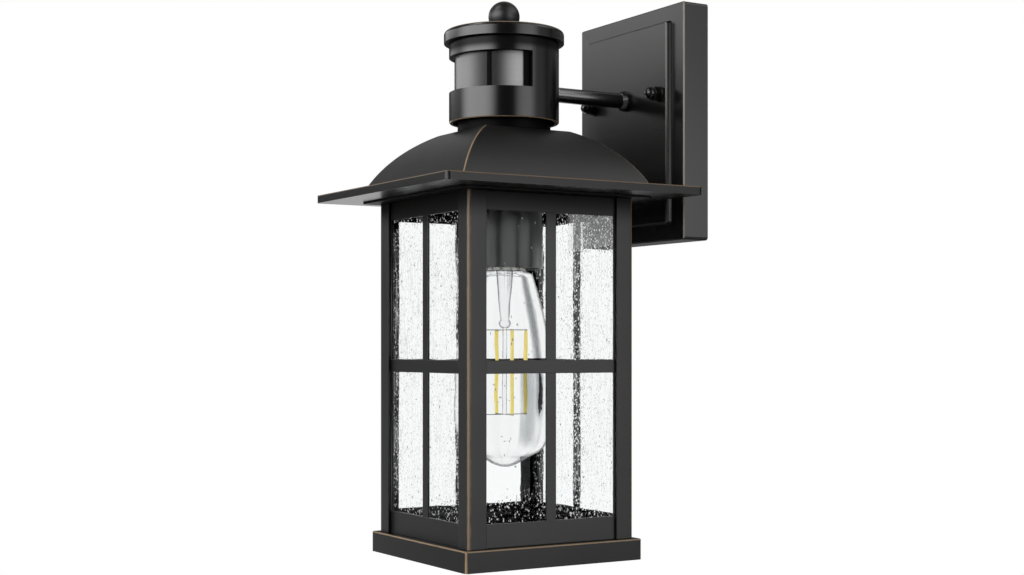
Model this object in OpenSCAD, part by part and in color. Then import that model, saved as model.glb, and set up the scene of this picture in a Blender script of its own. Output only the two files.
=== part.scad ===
// Outdoor wall lantern with a motion sensor drum, a domed square roof and a
// glazed square cage that is open underneath for the bulb.
// Origin: middle of the mounting bar in the wall plane, at the height of the arm.
// +Z is up and the lantern stands off the wall towards -Y.

/* [Wall plate] */
// Width of the wall plate
plate_w = 111; // [100:1:140]
// Height of the wall plate
plate_h = 142; // [125:1:180]
// Depth of the pan from the wall to its shoulder
plate_d = 18; // [12:0.5:25]
// Middle of the wall plate below the arm
plate_drop = 17.8; // [0:0.2:25]
// Sheet thickness of the wall plate
plate_wall = 2; // [1.2:0.1:3]
// Corner radius of the wall plate
plate_corner = 2; // [1.5:0.5:8]
// Bevel along the front edges of the wall plate
plate_bevel = 0.8; // [0.3:0.1:1.2]
// Width of the raised middle panel
panel_w = 87; // [84:1:95]
// Height of the raised middle panel
panel_h = 123; // [90:1:124]
// Rise of the middle panel above the shoulder
panel_rise = 3.6; // [2:0.2:6]

/* [Wall fixing] */
// Distance between the two screws into the junction box
box_screw_spacing = 88.9; // [84:0.1:92]
// Width of the junction box screw slots
box_slot_w = 5.2; // [4.5:0.1:6]
// End to end length of the junction box screw slots
box_slot_len = 9; // [7:0.5:10]
// Length of the mounting bar
bar_len = 102; // [98:1:106]
// Height of the mounting bar
bar_w = 22; // [18:1:30]
// Sheet thickness of the mounting bar
bar_t = 1.6; // [1.2:0.1:3]
// Depth of the stiffening lips of the mounting bar
bar_lip = 3.4; // [2.5:0.1:6]
// Distance between the two studs that carry the lantern
stud_spacing = 69.85; // [60:0.05:72]
// Diameter of the studs
stud_d = 4.1; // [3:0.1:5]
// Size across the flats of the nuts that lock the studs
stud_nut_af = 7; // [6:0.1:10]
// Thickness of the nuts that lock the studs
stud_nut_t = 2.4; // [1.5:0.1:4]
// Size across the flats of the domed cap nuts
cap_nut_af = 8; // [7:0.1:11]
// Length of a domed cap nut
cap_nut_len = 8.8; // [8:0.1:13]
// Diameter of the washers under the cap nuts
washer_d = 9.8; // [9:0.1:14]
// Thickness of the washers
washer_t = 0.8; // [0.5:0.1:2]
// Distance of the ground screw from the middle of the mounting bar
ground_screw_x = 14; // [10:0.5:20]
// Diameter of the ground screw
ground_screw_d = 4; // [3:0.1:5]

/* [Arm] */
// Clearance between the brim and the raised panel
brim_gap = 3.7; // [1:0.1:30]
// Outer diameter of the arm
arm_d = 9.2; // [8:0.1:12]
// Bore of the arm for the leads
arm_bore = 6.2; // [4:0.1:7]
// Diameter of the collars at the ends of the arm
collar_d = 12.4; // [12.2:0.1:18]
// Length of the collar at the drum
drum_collar_len = 3; // [2:0.5:8]
// Length of the tapered collar at the wall plate
plate_collar_len = 5; // [3:0.5:10]

/* [Sensor drum] */
// Outer diameter of the drum
drum_d = 65.3; // [60:0.1:75]
// Height of the drum
drum_h = 46.9; // [44:0.1:60]
// Lower rim of the drum below the arm
drum_drop = 20.3; // [19:0.1:24]
// Wall thickness of the drum
drum_wall = 2.4; // [1.6:0.1:3]
// Depth of the recess under the drum
drum_recess = 5; // [2:0.1:6]
// Lower edge of the sensor window above the drum's lower rim
window_up = 17.8; // [14:0.1:20]
// Height of the sensor window
window_h = 20.8; // [16:0.1:21]
// Angle that the sensor window spans
window_arc = 180; // [120:1:184]
// Wall thickness of the sensor lens
lens_t = 1.2; // [0.8:0.1:2]
// Angle from the front to each upright rib of the lens frame
rib_angle = 42.6; // [30:0.1:50]
// Width of the upright ribs of the lens frame
rib_w = 2.4; // [1.5:0.1:4]
// Diameter of the drum's cap
cap_d = 71.4; // [68:0.1:82]
// Height of the drum's cap
cap_h = 7.6; // [6:0.1:12]
// Rounding of the cap's upper edge
cap_round = 2.6; // [1:0.1:4]
// Diameter of the ball finial
finial_d = 18.6; // [16:0.1:26]

/* [Roof] */
// Diameter of the neck between the roof and the drum
neck_d = 55.2; // [46:0.1:56]
// Height of neck that shows under the drum's rim
neck_show = 5.7; // [4:0.1:12]
// Width of the flat top of the dome
dome_top_w = 56.8; // [56.4:0.1:62]
// Height of the dome above the brim
dome_h = 34.2; // [28:0.1:44]
// Width of the dome where it meets the brim
dome_base_w = 126; // [116:0.5:140]
// Radius of the dome's curved sides
dome_r = 67.9; // [60:0.1:90]
// Wall thickness of the roof casting
roof_wall = 1.8; // [1.4:0.1:2.6]
// Width of the square brim
brim_w = 168; // [150:1:200]
// Thickness of the brim
brim_t = 4.8; // [3:0.1:8]
// Corner radius of the brim
brim_corner = 3; // [1.5:0.5:8]
// Bevel along the upper edge of the brim
brim_bevel = 0.6; // [0.3:0.1:1.2]

/* [Cage] */
// Width of the cage over its corner posts
cage_w = 110; // [104:0.5:120]
// Height of the cage between its base and its top plate
cage_h = 198; // [185:1:240]
// Width of each leg of the corner posts
post_leg = 11.6; // [9:0.1:14]
// Sheet thickness of the corner posts
post_t = 1.9; // [1.2:0.1:2.4]
// Sheet thickness of the four grilles
grille_t = 1.6; // [1.2:0.1:2.4]
// Height of the bottom rail of a grille
bottom_rail = 13.4; // [9:0.1:20]
// Height of the top rail of a grille
top_rail = 10.7; // [8:0.1:16]
// Height of the middle rail of a grille
mid_rail = 7.5; // [4:0.1:12]
// Width of the upright glazing bar of a grille
mullion_w = 6.6; // [4:0.1:10]
// Set back of the glazing bar behind the middle rail
mullion_set_back = 0.3; // [0.1:0.1:0.6]
// Thickness of the glass panes
glass_t = 2; // [1.6:0.1:3]
// Lap of the top plate past the foot of the dome
top_plate_lap = 0.2; // [0:0.1:4]
// Thickness of the top plate
top_plate_t = 1.2; // [1:0.1:2]
// Width of each glass clip
clip_w = 9; // [6:0.5:14]
// Length of each glass clip down the pane
clip_len = 9; // [6:0.5:14]
// Sheet thickness of the glass clips
clip_t = 0.8; // [0.5:0.1:1.2]

/* [Base] */
// Width of the base frame
base_w = 117.3; // [114:0.1:130]
// Height of the base frame
base_h = 12.2; // [10:0.1:20]
// Wall thickness of the base frame
base_wall = 2; // [1.4:0.1:3]
// Corner radius of the base frame
base_corner = 1.8; // [1:0.1:4]
// Bevel along the upper edge of the base frame
base_bevel = 0.7; // [0.3:0.1:1]
// Width of the ledge inside the glass that the upstand stands on
ledge_w = 3.5; // [2.5:0.1:5]
// Height of the upstand that keeps the glass in
upstand_h = 4; // [2:0.1:8]

/* [Lamp holder] */
// Diameter of the cup around the lamp holder
cup_d = 45.2; // [43:0.1:52]
// Length of the cup
cup_h = 40.2; // [39:0.1:48]
// Sheet thickness of the cup
cup_t = 1; // [0.8:0.1:1.4]
// Diameter of the insulating lamp holder
holder_d = 38; // [34:0.1:40]
// Outer diameter of the threaded tube through the roof
nipple_d = 9.8; // [9:0.1:10.2]
// Bore of the threaded tube
nipple_bore = 6.4; // [5:0.1:7]
// Size across the flats of the lock nuts
lock_nut_af = 15; // [14:0.1:18]
// Thickness of the lock nuts
lock_nut_t = 3; // [2:0.1:4]

/* [Bulb] */
// Diameter of the bulb's glass at its widest
bulb_d = 58; // [45:0.5:64]
// Length of the glass from the shoulder to the nose
bulb_len = 116.6; // [110:0.5:130]
// Diameter of the glass at its shoulder
bulb_shoulder_d = 34; // [30:0.5:38]
// Wall thickness of the glass
bulb_wall = 0.7; // [0.5:0.1:1]
// Outer diameter of the metal cap over its thread
bulb_cap_d = 26.2; // [25:0.1:26.6]
// Height of the metal cap
bulb_cap_h = 26.2; // [24:0.1:27]
// Length of the glass stem from the shoulder to its bead
stem_len = 31.5; // [24:0.5:36]
// Diameter of the stem's bead
bead_d = 6.4; // [4:0.1:8]
// Diameter of the stem's rod
stem_rod_d = 2.4; // [1.6:0.1:3]
// Thickness of the stem's flare in the neck
flare_t = 2; // [1:0.1:3]
// Length of each glowing filament
filament_len = 49; // [35:0.5:55]
// Diameter of each filament
filament_d = 2; // [1:0.1:3]
// Distance of the filaments from the bulb's axis
filament_ring_r = 12; // [7:0.5:14]
// Number of filaments
filament_n = 4; // [2:1:6]
// Turn of the filaments about the bulb's axis
filament_turn = -10; // [-45:1:45]

/* [Hidden] */
$fn = 96;
// Clearance round a rod or a spigot in its hole, within one assembly
fit_gap = 0.1;
// Running clearance of a cap nut on its stud
run_gap = 0.05;
// Play left round the glass and between the bulb and the lamp holder
play = 0.3;
// Overshoot of a cutting body past the face that it opens
cut = 1;

// Heights, from the arm downwards and upwards
drum_z0 = -drum_drop;
drum_z1 = drum_z0 + drum_h;
drum_floor_z = drum_z0 + drum_recess;
drum_in_z = drum_floor_z + drum_wall;
window_z0 = drum_z0 + window_up;
window_z1 = window_z0 + window_h;
cap_z1 = drum_z1 + cap_h;
dome_z1 = drum_z0 - neck_show;
brim_z1 = dome_z1 - dome_h;
brim_z0 = brim_z1 - brim_t;
cage_z1 = brim_z0 - top_plate_t;
cage_z0 = cage_z1 - cage_h;
base_z0 = cage_z0 - base_h;
cup_z1 = cage_z1;
cup_z0 = cup_z1 - cup_h;

// Distances from the wall
face_y = plate_d + panel_rise;
panel_in_y = face_y - plate_wall;
reach = face_y + brim_gap + brim_w / 2;

// Layers of the cage, as half widths from its axis
grille_out = cage_w / 2 - post_t;
glass_out = grille_out - grille_t;
glass_in = glass_out - glass_t;
top_plate_w = dome_base_w + 2 * top_plate_lap;

// Drum and lens radii
drum_r = drum_d / 2;
drum_in_r = drum_r - drum_wall;
lens_frame_t = 0.9;
lens_frame_r = drum_in_r - 0.2;
lens_r = lens_frame_r - lens_frame_t - fit_gap;
lens_cover = 3;
lens_z0 = window_z0 - lens_cover;
lens_z1 = window_z1 + lens_cover;

// The bulb hangs with its shoulder just below the cup
bulb_z = cup_z0 - 1.1;
bulb_r = bulb_d / 2;
bulb_cap_z1 = bulb_z + bulb_cap_h;
cap_wall = 0.6;
insulator_h = 4;
insulator_r = bulb_cap_d / 3;
neck_glass_r = bulb_cap_d / 2 - cap_wall - fit_gap;
neck_glass_h = 6;
contact_t = 0.8;
holder_in_z = bulb_cap_z1 + play + contact_t;
holder_z1 = cup_z1 - cup_t - lock_nut_t;
holder_z0 = cup_z0 + 1.5;
shell_in_r = bulb_cap_d / 2 + play;
shell_t = 0.6;
shell_h = 17;

// The dome's side is an arc through the edge of the flat top and the foot
dome_run = (dome_base_w - dome_top_w) / 2;
dome_chord = norm([dome_run, dome_h]);
dome_sag = sqrt(dome_r * dome_r - dome_chord * dome_chord / 4);
dome_cx = (dome_base_w + dome_top_w) / 4 - dome_sag * dome_h / dome_chord;
dome_cz = dome_h / 2 - dome_sag * dome_run / dome_chord;

metal = [0.16, 0.15, 0.14];
zinc = [0.72, 0.72, 0.74];
brass = [0.80, 0.62, 0.32];

// ---- shapes used by several pieces ----

// Rectangle with round corners, centred
module rounded_rect(w, h, r) {
    square([w - 2 * r, h], center = true);
    square([w, h - 2 * r], center = true);
    for (sx = [-1, 1], sy = [-1, 1])
        translate([sx * (w / 2 - r), sy * (h / 2 - r)]) circle(r);
}

// Side view of a plate with both upper edges bevelled
module bevel_profile(w, t, bevel) {
    polygon([[-w / 2, 0], [w / 2, 0], [w / 2, t - bevel], [w / 2 - bevel, t],
        [bevel - w / 2, t], [-w / 2, t - bevel]]);
}

// Plate with round corners and a bevel all round its upper face
module bevelled_plate(w, h, t, r, bevel) {
    intersection() {
        linear_extrude(t) rounded_rect(w, h, r);
        rotate([90, 0, 0]) linear_extrude(h + 2, center = true) bevel_profile(w, t, bevel);
        rotate([90, 0, 90]) linear_extrude(w + 2, center = true) bevel_profile(h, t, bevel);
    }
}

// Turns what is drawn upwards so that it points away from the wall, at height 0
module off_wall() {
    rotate([90, 0, 0]) children();
}

// Moves to the lantern's axis
module on_axis() {
    translate([0, -reach, 0]) children();
}

// Hexagonal nut standing on z = 0
module hex_nut(af, t, bore_r) {
    difference() {
        cylinder(r = af / sqrt(3), h = t, $fn = 6);
        translate([0, 0, -cut]) cylinder(r = bore_r, h = t + 2 * cut);
    }
}

// Round tube standing on z = 0
module tube(r_out, r_in, h) {
    difference() {
        cylinder(r = r_out, h = h);
        translate([0, 0, -cut]) cylinder(r = r_in, h = h + 2 * cut);
    }
}

// Sector of a ring, centred on the front, standing on z = 0
module front_arc(r_out, r_in, h, angle) {
    rotate([0, 0, -90 - angle / 2]) rotate_extrude(angle = angle)
        translate([r_in, 0]) square([r_out - r_in, h]);
}

// ---- wall plate and its fixing ----

// Pressed pan with a raised middle panel, open towards the wall
module back_plate() {
    color(metal) difference() {
        translate([0, 0, -plate_drop]) off_wall() difference() {
            union() {
                bevelled_plate(plate_w, plate_h, plate_d, plate_corner, plate_bevel);
                bevelled_plate(panel_w, panel_h, face_y, plate_corner, plate_bevel);
            }
            translate([0, 0, -cut])
                linear_extrude(plate_d - plate_wall + cut)
                rounded_rect(plate_w - 2 * plate_wall, plate_h - 2 * plate_wall, 1);
            linear_extrude(panel_in_y)
                rounded_rect(panel_w - 2 * plate_wall, panel_h - 2 * plate_wall, 1);
        }
        off_wall() cylinder(r = arm_d / 2 + fit_gap, h = face_y + cut);
        for (side = [-1, 1])
            translate([side * stud_spacing / 2, 0, 0]) off_wall()
                cylinder(r = stud_d / 2 + fit_gap, h = face_y + cut);
    }
}

// Galvanised channel that is screwed to the junction box
module mounting_bar() {
    color(zinc) off_wall() difference() {
        union() {
            linear_extrude(bar_t) rounded_rect(bar_len, bar_w, 1);
            for (side = [-1, 1])
                translate([0, side * (bar_w - bar_t) / 2, bar_lip / 2])
                    cube([bar_len - 4, bar_t, bar_lip], center = true);
        }
        for (side = [-1, 1]) {
            translate([side * stud_spacing / 2, 0, -cut])
                cylinder(r = stud_d / 2 + fit_gap, h = bar_t + 2 * cut);
            translate([side * box_screw_spacing / 2, 0, -cut])
                linear_extrude(bar_t + 2 * cut) box_slot();
        }
        translate([ground_screw_x, 0, -cut]) 
            cylinder(r = ground_screw_d / 2 + fit_gap, h = bar_t + 2 * cut);
    }
}

// Slot for a junction box screw
module box_slot() {
    half = (box_slot_len - box_slot_w) / 2;
    square([2 * half, box_slot_w], center = true);
    for (side = [-1, 1]) translate([side * half, 0]) circle(box_slot_w / 2);
}

// Threaded studs, flush with the back of the mounting bar
module fixture_studs() {
    color(zinc) for (side = [-1, 1])
        translate([side * stud_spacing / 2, 0, 0]) off_wall()
            cylinder(r = stud_d / 2, h = face_y + washer_t + cap_nut_len - 2.6);
}

// Hexagonal nuts that lock the studs to the mounting bar
module stud_nuts() {
    color(zinc) for (side = [-1, 1])
        translate([side * stud_spacing / 2, -bar_t, 0]) off_wall()
            hex_nut(stud_nut_af, stud_nut_t, stud_d / 2 + fit_gap);
}

// Domed nut on one stud: hexagon, waist and round end with a blind hole
module cap_nut(side) {
    hex_h = 0.45 * cap_nut_len;
    dome_end_r = 0.46 * cap_nut_af;
    seat_gap = 0.1;
    color(metal) translate([side * stud_spacing / 2, -face_y - washer_t - seat_gap, 0])
        off_wall() difference() {
            union() {
                cylinder(r = cap_nut_af / sqrt(3), h = hex_h, $fn = 6);
                cylinder(r = dome_end_r, h = cap_nut_len - dome_end_r);
                translate([0, 0, cap_nut_len - dome_end_r]) sphere(dome_end_r);
            }
            translate([0, 0, -cut])
                cylinder(r = stud_d / 2 + run_gap, h = cap_nut_len - 2 + cut);
        }
}

module cap_nut_left() {
    cap_nut(-1);
}

module cap_nut_right() {
    cap_nut(1);
}

// Flat washers between the cap nuts and the raised panel
module cap_nut_washers() {
    color(metal) for (side = [-1, 1])
        translate([side * stud_spacing / 2, -face_y, 0]) off_wall()
            tube(washer_d / 2, stud_d / 2 + fit_gap, washer_t);
}

// Green screw for the ground lead, with a slotted head
module ground_screw() {
    head_r = ground_screw_d;
    head_h = 0.6 * ground_screw_d;
    color("seagreen") translate([ground_screw_x, 0, 0]) off_wall() difference() {
        union() {
            cylinder(r = ground_screw_d / 2, h = bar_t);
            translate([0, 0, bar_t]) cylinder(r1 = head_r, r2 = 0.85 * head_r, h = head_h);
        }
        translate([0, 0, bar_t + head_h]) cube([3 * head_r, 0.25 * head_r, head_h], center = true);
    }
}

// ---- arm ----

// Bent-free tube that carries the lantern and its leads
module arm_tube() {
    arm_y0 = panel_in_y - lock_nut_t - 2;
    arm_y1 = reach - drum_in_r + lock_nut_t + 3.5;
    color(metal) translate([0, -arm_y0, 0]) off_wall()
        tube(arm_d / 2, arm_bore / 2, arm_y1 - arm_y0);
}

// Collar that tapers from the raised panel to the arm
module plate_collar() {
    foot = 1.6;
    color(metal) translate([0, -face_y, 0]) off_wall() difference() {
        union() {
            cylinder(r = collar_d / 2, h = foot);
            translate([0, 0, foot])
                cylinder(r1 = collar_d / 2, r2 = arm_d / 2 + 0.5, h = plate_collar_len - foot);
        }
        translate([0, 0, -cut]) cylinder(r = arm_d / 2 + fit_gap, h = plate_collar_len + 2 * cut);
    }
}

// Collar between the arm and the drum, hollowed to the drum's curve
module drum_collar() {
    color(metal) difference() {
        translate([0, drum_collar_len + drum_r - reach, 0]) off_wall()
            tube(collar_d / 2, arm_d / 2 + fit_gap, drum_collar_len + 2);
        on_axis() translate([0, 0, -collar_d]) cylinder(r = drum_r + 0.05, h = 2 * collar_d);
    }
}

// Lock nuts on the two threaded ends of the arm
module arm_lock_nuts() {
    nut_r = lock_nut_af / sqrt(3);
    drum_seat = sqrt(drum_in_r * drum_in_r - nut_r * nut_r) - fit_gap;
    color(zinc) {
        translate([0, lock_nut_t - panel_in_y, 0]) off_wall()
            hex_nut(lock_nut_af, lock_nut_t, arm_d / 2 + fit_gap);
        translate([0, drum_seat - reach, 0]) off_wall()
            hex_nut(lock_nut_af, lock_nut_t, arm_d / 2 + fit_gap);
    }
}

// ---- sensor drum ----

// Drum with a recessed floor and a window round its front half
module sensor_drum() {
    edge = 0.5;
    color(metal) difference() {
        on_axis() difference() {
            rotate_extrude() difference() {
                polygon([[0, drum_z0], [drum_r - edge, drum_z0], [drum_r, drum_z0 + edge],
                    [drum_r, drum_z1], [0, drum_z1]]);
                translate([-cut, drum_z0 - cut]) square([drum_in_r + cut, drum_recess + cut]);
                translate([-cut, drum_in_z]) square([drum_in_r + cut, drum_h]);
            }
            translate([0, 0, window_z0])
                front_arc(drum_r + cut, drum_in_r - cut, window_h, window_arc);
            translate([0, 0, drum_floor_z - cut])
                cylinder(r = nipple_d / 2 + fit_gap, h = drum_wall + 2 * cut);
        }
        translate([0, -reach / 2, 0]) off_wall()
            cylinder(r = arm_d / 2 + fit_gap, h = reach / 2 - 10);
    }
}

// Black frame just behind the window: two upright ribs and dark margins
module lens_frame() {
    margin = 8;
    span = window_arc + 6;
    rib_half = asin(rib_w / 2 / lens_frame_r);
    side_span = window_arc / 2 - margin - rib_angle - rib_half;
    side_mid = rib_angle + rib_half + side_span / 2;
    color([0.05, 0.05, 0.05]) on_axis() difference() {
        translate([0, 0, lens_z0])
            front_arc(lens_frame_r, lens_frame_r - lens_frame_t, lens_z1 - lens_z0, span);
        translate([0, 0, window_z0]) {
            front_arc(lens_frame_r + cut, lens_frame_r - 2, window_h, 2 * (rib_angle - rib_half));
            for (side = [-1, 1])
                rotate([0, 0, side * side_mid])
                    front_arc(lens_frame_r + cut, lens_frame_r - 2, window_h, side_span);
        }
    }
}

// Smoked lens curved round the front half
module sensor_lens() {
    color([0.35, 0.36, 0.38]) on_axis() translate([0, 0, lens_z0])
        front_arc(lens_r, lens_r - lens_t, lens_z1 - lens_z0, window_arc + 4);
}

// Moulded carrier on the drum floor: foot, upright wall and two side cheeks
carrier_y = 11;
carrier_w = 36;
carrier_t = 2;
board_t = 1.6;
module sensor_carrier() {
    foot_y0 = nipple_d / 2 + lock_nut_af / 2;
    wall_h = window_z1 - drum_in_z;
    color([0.85, 0.85, 0.82]) on_axis() translate([0, 0, drum_in_z]) {
        translate([-carrier_w / 2, -carrier_y - carrier_t, 0]) cube([carrier_w, carrier_t, wall_h]);
        for (side = [-1, 1])
            translate([side * (carrier_w - carrier_t) / 2 - carrier_t / 2, -carrier_y, 0])
                cube([carrier_t, foot_y0, wall_h / 2]);
    }
}

// Circuit board on the front of the carrier
module sensor_board() {
    color([0.10, 0.35, 0.18]) on_axis()
        translate([-carrier_w / 2 + 2, -carrier_y - carrier_t - board_t, window_z0])
        cube([carrier_w - 4, board_t, window_h - 2]);
}

// Two metal-canned motion detectors on the board
module motion_detectors() {
    can_r = 4.6;
    color(zinc) for (side = [-1, 1])
        translate([side * 9, -reach - carrier_y - carrier_t - board_t, (window_z0 + window_z1) / 2])
            off_wall() {
                cylinder(r = can_r, h = 0.6);
                cylinder(r = can_r - 0.5, h = 4.2);
            }
}

// Potted control module behind the carrier's wall, beside the arm's end
module control_module() {
    module_w = 18;
    color([0.90, 0.90, 0.88]) on_axis()
        translate([-module_w / 2, -carrier_y, drum_in_z + lock_nut_t + 6])
        cube([module_w, 9, 18]);
}

// Cap with a spigot inside the drum and a rounded upper edge
module drum_cap() {
    cap_r = cap_d / 2;
    spigot_r = drum_in_r - fit_gap;
    spigot_wall = 2;
    spigot_h = 3;
    color(metal) on_axis() rotate_extrude() difference() {
        union() {
            translate([0, drum_z1]) square([cap_r, cap_h - cap_round]);
            translate([0, cap_z1 - cap_round]) square([cap_r - cap_round, cap_round]);
            translate([cap_r - cap_round, cap_z1 - cap_round]) circle(cap_round);
            translate([0, drum_z1 - spigot_h]) square([spigot_r, spigot_h]);
        }
        translate([-cut, drum_z1 - spigot_h - cut])
            square([spigot_r - spigot_wall + cut, spigot_h + cap_h - 2.6 + cut]);
        translate([-cut, drum_z1]) square([2 + fit_gap + cut, cap_h + cut]);
    }
}

// Ball finial, flat where it sits on the cap, with a blind screw hole
finial_screw_r = 2;
finial_hole_h = 9;
module finial() {
    ball_r = finial_d / 2;
    flat = 0.4;
    color(metal) on_axis() translate([0, 0, cap_z1]) difference() {
        translate([0, 0, ball_r - flat]) sphere(ball_r);
        translate([0, 0, -ball_r]) cylinder(r = 2 * ball_r, h = ball_r);
        translate([0, 0, -cut]) cylinder(r = finial_screw_r + fit_gap, h = finial_hole_h + cut);
    }
}

// Screw that holds the finial from inside the cap
module finial_screw() {
    head_h = 2.2;
    cap_top_t = 2.6;
    color(zinc) on_axis() {
        translate([0, 0, cap_z1 - cap_top_t - head_h]) cylinder(r = 3.8, h = head_h);
        translate([0, 0, cap_z1 - cap_top_t]) cylinder(r = finial_screw_r, h = cap_top_t + finial_hole_h - 1);
    }
}

// ---- roof ----

// Short round neck that stands on the dome and carries the drum's floor
module neck_ring() {
    color(metal) on_axis() translate([0, 0, dome_z1])
        tube(neck_d / 2, neck_d / 2 - drum_wall, drum_floor_z - dome_z1);
}

// Side view of the dome, symmetrical about its middle, from its foot at z = 0
module dome_profile(r, h0, h1) {
    intersection() {
        for (side = [-1, 1]) translate([side * dome_cx, dome_cz]) circle(r, $fn = 256);
        translate([-dome_base_w, h0]) square([2 * dome_base_w, h1 - h0]);
    }
}

// Square dome with four hips: two crossed barrel forms cut by each other
module dome_solid(r, h0, h1) {
    intersection() {
        rotate([90, 0, 0]) linear_extrude(2 * dome_base_w, center = true) dome_profile(r, h0, h1);
        rotate([90, 0, 90]) linear_extrude(2 * dome_base_w, center = true) dome_profile(r, h0, h1);
    }
}

// Hollow dome casting that stands on the brim
module roof_dome() {
    color(metal) on_axis() difference() {
        translate([0, 0, brim_z1]) dome_solid(dome_r, 0, dome_h);
        translate([0, 0, brim_z1]) dome_solid(dome_r - roof_wall, -cut, dome_h - roof_wall);
        translate([0, 0, dome_z1 - roof_wall - cut])
            cylinder(r = nipple_d / 2 + fit_gap, h = roof_wall + 2 * cut);
    }
}

// Flat square brim, open under the dome
module roof_brim() {
    opening = dome_base_w - 2 * roof_wall;
    color(metal) on_axis() translate([0, 0, brim_z0]) difference() {
        bevelled_plate(brim_w, brim_w, brim_t, brim_corner, brim_bevel);
        cube([opening, opening, 3 * brim_t], center = true);
    }
}

// Square plate between the brim and the cage
module top_plate() {
    color(metal) on_axis() translate([0, 0, cage_z1]) difference() {
        linear_extrude(top_plate_t) rounded_rect(top_plate_w, top_plate_w, brim_corner);
        translate([0, 0, -cut]) cylinder(r = nipple_d / 2 + fit_gap, h = top_plate_t + 2 * cut);
    }
}

// Threaded tube that clamps drum, neck, roof, top plate and cup together
module centre_tube() {
    tube_z0 = holder_z1 - 5;
    tube_z1 = drum_in_z + lock_nut_t + 2.5;
    color(zinc) on_axis() translate([0, 0, tube_z0])
        tube(nipple_d / 2, nipple_bore / 2, tube_z1 - tube_z0);
}

// Lock nuts above the drum's floor and inside the cup
module centre_nuts() {
    color(zinc) on_axis() for (z = [drum_in_z, holder_z1])
        translate([0, 0, z]) hex_nut(lock_nut_af, lock_nut_t, nipple_d / 2 + fit_gap);
}

// ---- lamp holder ----

// Plain cup that hides the lamp holder, open below
module socket_cup() {
    color(metal) on_axis() translate([0, 0, cup_z0]) difference() {
        cylinder(r = cup_d / 2, h = cup_h);
        translate([0, 0, -cut]) cylinder(r = cup_d / 2 - cup_t, h = cup_h - cup_t + cut);
        cylinder(r = nipple_d / 2 + fit_gap, h = cup_h + cut);
    }
}

// Insulating body with a well for the bulb's cap and a threaded boss above
module lamp_holder() {
    well_r = shell_in_r + shell_t + fit_gap;
    color([0.93, 0.92, 0.88]) on_axis() difference() {
        translate([0, 0, holder_z0]) cylinder(r = holder_d / 2, h = holder_z1 - holder_z0);
        translate([0, 0, holder_z0 - cut]) cylinder(r = well_r, h = holder_in_z - holder_z0 + cut);
        translate([0, 0, holder_z1 - 5 - fit_gap])
            cylinder(r = nipple_d / 2 + fit_gap, h = 5 + fit_gap + cut);
    }
}

// Brass shell that the bulb screws into
module screw_shell() {
    color(brass) on_axis() translate([0, 0, holder_in_z - shell_h])
        tube(shell_in_r + shell_t, shell_in_r, shell_h);
}

// Contact plate at the top of the well
module centre_contact() {
    color(brass) on_axis() translate([0, 0, holder_in_z - contact_t])
        cylinder(r = 4.5, h = contact_t);
}

// ---- cage ----

// Angle post with its corner at the origin of the quarter it is mirrored to
module corner_post(side_x, side_y) {
    half = cage_w / 2;
    color(metal) on_axis() mirror([side_x < 0 ? 1 : 0, 0, 0]) mirror([0, side_y < 0 ? 1 : 0, 0])
        translate([0, 0, cage_z0]) linear_extrude(cage_h) difference() {
            translate([half - post_leg, half - post_leg]) square(post_leg);
            translate([0, 0]) square(half - post_t);
        }
}

module post_front_left() {
    corner_post(-1, -1);
}

module post_front_right() {
    corner_post(1, -1);
}

module post_back_left() {
    corner_post(-1, 1);
}

module post_back_right() {
    corner_post(1, 1);
}

// Places a piece of one side of the cage, drawn upright on y = 0 and facing -Y,
// at a distance from the axis; turn 0 is the front, 90 the right hand side
module on_side(turn, distance) {
    on_axis() rotate([0, 0, turn]) translate([0, -distance, 0]) children();
}

// One glazed side: outer frame, middle rail and a thinner upright bar
module grille(turn, half) {
    stile = half - (cage_w / 2 - post_leg) + 0.6;
    inner_h = cage_h - bottom_rail - top_rail;
    color(metal) on_side(turn, grille_out) translate([0, 0, cage_z0]) difference() {
        translate([-half, 0, 0]) cube([2 * half, grille_t, cage_h]);
        for (sx = [-1, 1], up = [0, 1])
            translate([sx > 0 ? mullion_w / 2 : stile - half, -cut,
                bottom_rail + up * (inner_h + mid_rail) / 2])
                cube([half - stile - mullion_w / 2, grille_t + 2 * cut, (inner_h - mid_rail) / 2]);
        for (up = [0, 1])
            translate([-mullion_w / 2 - cut, -cut, bottom_rail + up * (inner_h + mid_rail) / 2])
                cube([mullion_w + 2 * cut, mullion_set_back + cut, (inner_h - mid_rail) / 2]);
    }
}

module grille_front() {
    grille(0, grille_out);
}

module grille_back() {
    grille(180, grille_out);
}

module grille_left() {
    grille(-90, glass_out);
}

module grille_right() {
    grille(90, glass_out);
}

// Glass pane behind one grille, standing on the base frame
module pane(turn, half) {
    color([0.80, 0.88, 0.90, 0.4]) on_side(turn, glass_out) translate([-half, 0, cage_z0])
        cube([2 * half, glass_t, cage_h - play]);
}

module pane_front() {
    pane(0, glass_out - play);
}

module pane_back() {
    pane(180, glass_out - play);
}

module pane_left() {
    pane(-90, glass_in - play);
}

module pane_right() {
    pane(90, glass_in - play);
}

// Bent clips under the top plate that keep the panes against the grilles
module glass_clips() {
    clip_x = cage_w / 4;
    foot_len = 5;
    color(zinc) for (turn = [0, 90, 180, 270], side = [-1, 1])
        on_side(turn, glass_in) translate([side * clip_x - clip_w / 2, 0, cage_z1]) {
            translate([0, 0, -clip_len]) cube([clip_w, clip_t, clip_len]);
            translate([0, 0, -clip_t]) cube([clip_w, foot_len, clip_t]);
        }
}

// ---- base ----

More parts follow.
